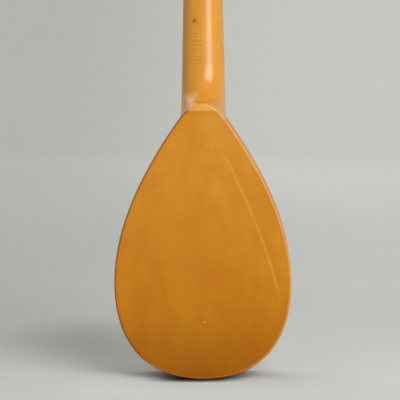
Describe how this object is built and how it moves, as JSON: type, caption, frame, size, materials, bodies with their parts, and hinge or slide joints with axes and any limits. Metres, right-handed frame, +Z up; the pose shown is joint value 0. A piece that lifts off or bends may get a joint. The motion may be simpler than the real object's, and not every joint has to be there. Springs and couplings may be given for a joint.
{
  "type": "soprano ukulele",
  "caption": "Small four-string plucked instrument with a teardrop body, flat back, heeled neck, fretted fingerboard and friction tuning pegs.",
  "frame": {"origin": "under the tail, midway across the body and midway between the strings over the saddle and the back's outer face", "axes": "+Z up the neck, -Y out of the soundboard towards the player's listener, +Y out of the flat back"},
  "size_m": [0.168, 0.0674, 0.5212],
  "materials": {
    "amber_birch": "amber gloss lacquer",
    "amber_neck": "amber gloss lacquer",
    "pale_spruce": "bare",
    "rosewood": "oiled",
    "nickel": "polished nickel",
    "bone": "satin",
    "cream_plastic": "polished",
    "nylon": "clear nylon"
  },
  "bodies": {
    "instrument": {"soundboard": "amber_birch", "back_plate": "amber_birch", "rib_bass": "amber_birch", "rib_treble": "amber_birch", "soundboard_lining_bass": "pale_spruce", "soundboard_lining_treble": "pale_spruce", "back_lining_bass": "pale_spruce", "back_lining_treble": "pale_spruce", "neck_block": "pale_spruce", "tail_block": "pale_spruce", "upper_soundboard_brace": "pale_spruce", "lower_soundboard_brace": "pale_spruce", "upper_back_brace": "pale_spruce", "lower_back_brace": "pale_spruce", "bridge_patch": "pale_spruce", "neck": "amber_neck", "fretboard": "rosewood", "fret_01": "nickel", "fret_02": "nickel", "fret_03": "nickel", "fret_04": "nickel", "fret_05": "nickel", "fret_06": "nickel", "fret_07": "nickel", "fret_08": "nickel", "fret_09": "nickel", "fret_10": "nickel", "fret_11": "nickel", "fret_12": "nickel", "nut": "bone", "bridge": "rosewood", "saddle": "bone", "string_g": "nylon", "string_c": "nylon", "string_e": "nylon", "string_a": "nylon", "tuner_ferrule_g": "nickel", "tuner_ferrule_c": "nickel", "tuner_ferrule_e": "nickel", "tuner_ferrule_a": "nickel", "tuner_collar_g": "nickel", "tuner_collar_c": "nickel", "tuner_collar_e": "nickel", "tuner_collar_a": "nickel"},
    "peg_g": {"tuner_post_g": "nickel", "tuner_button_g": "cream_plastic", "tuner_screw_g": "nickel", "string_winding_g": "nylon"},
    "peg_c": {"tuner_post_c": "nickel", "tuner_button_c": "cream_plastic", "tuner_screw_c": "nickel", "string_winding_c": "nylon"},
    "peg_e": {"tuner_post_e": "nickel", "tuner_button_e": "cream_plastic", "tuner_screw_e": "nickel", "string_winding_e": "nylon"},
    "peg_a": {"tuner_post_a": "nickel", "tuner_button_a": "cream_plastic", "tuner_screw_a": "nickel", "string_winding_a": "nylon"}
  },
  "joints": [
    {"name": "peg_g_turn", "type": "hinge", "parent": "instrument", "child": "peg_g", "pos_m": [-0.0165, -0.01954, 0.45582], "axis": [0, -0.9903, 0.1392], "continuous": true},
    {"name": "peg_c_turn", "type": "hinge", "parent": "instrument", "child": "peg_c", "pos_m": [-0.018, -0.01481, 0.48949], "axis": [0, -0.9903, 0.1392], "continuous": true},
    {"name": "peg_e_turn", "type": "hinge", "parent": "instrument", "child": "peg_e", "pos_m": [0.018, -0.01481, 0.48949], "axis": [0, -0.9903, 0.1392], "continuous": true},
    {"name": "peg_a_turn", "type": "hinge", "parent": "instrument", "child": "peg_a", "pos_m": [0.0165, -0.01954, 0.45582], "axis": [0, -0.9903, 0.1392], "continuous": true}
  ]
}
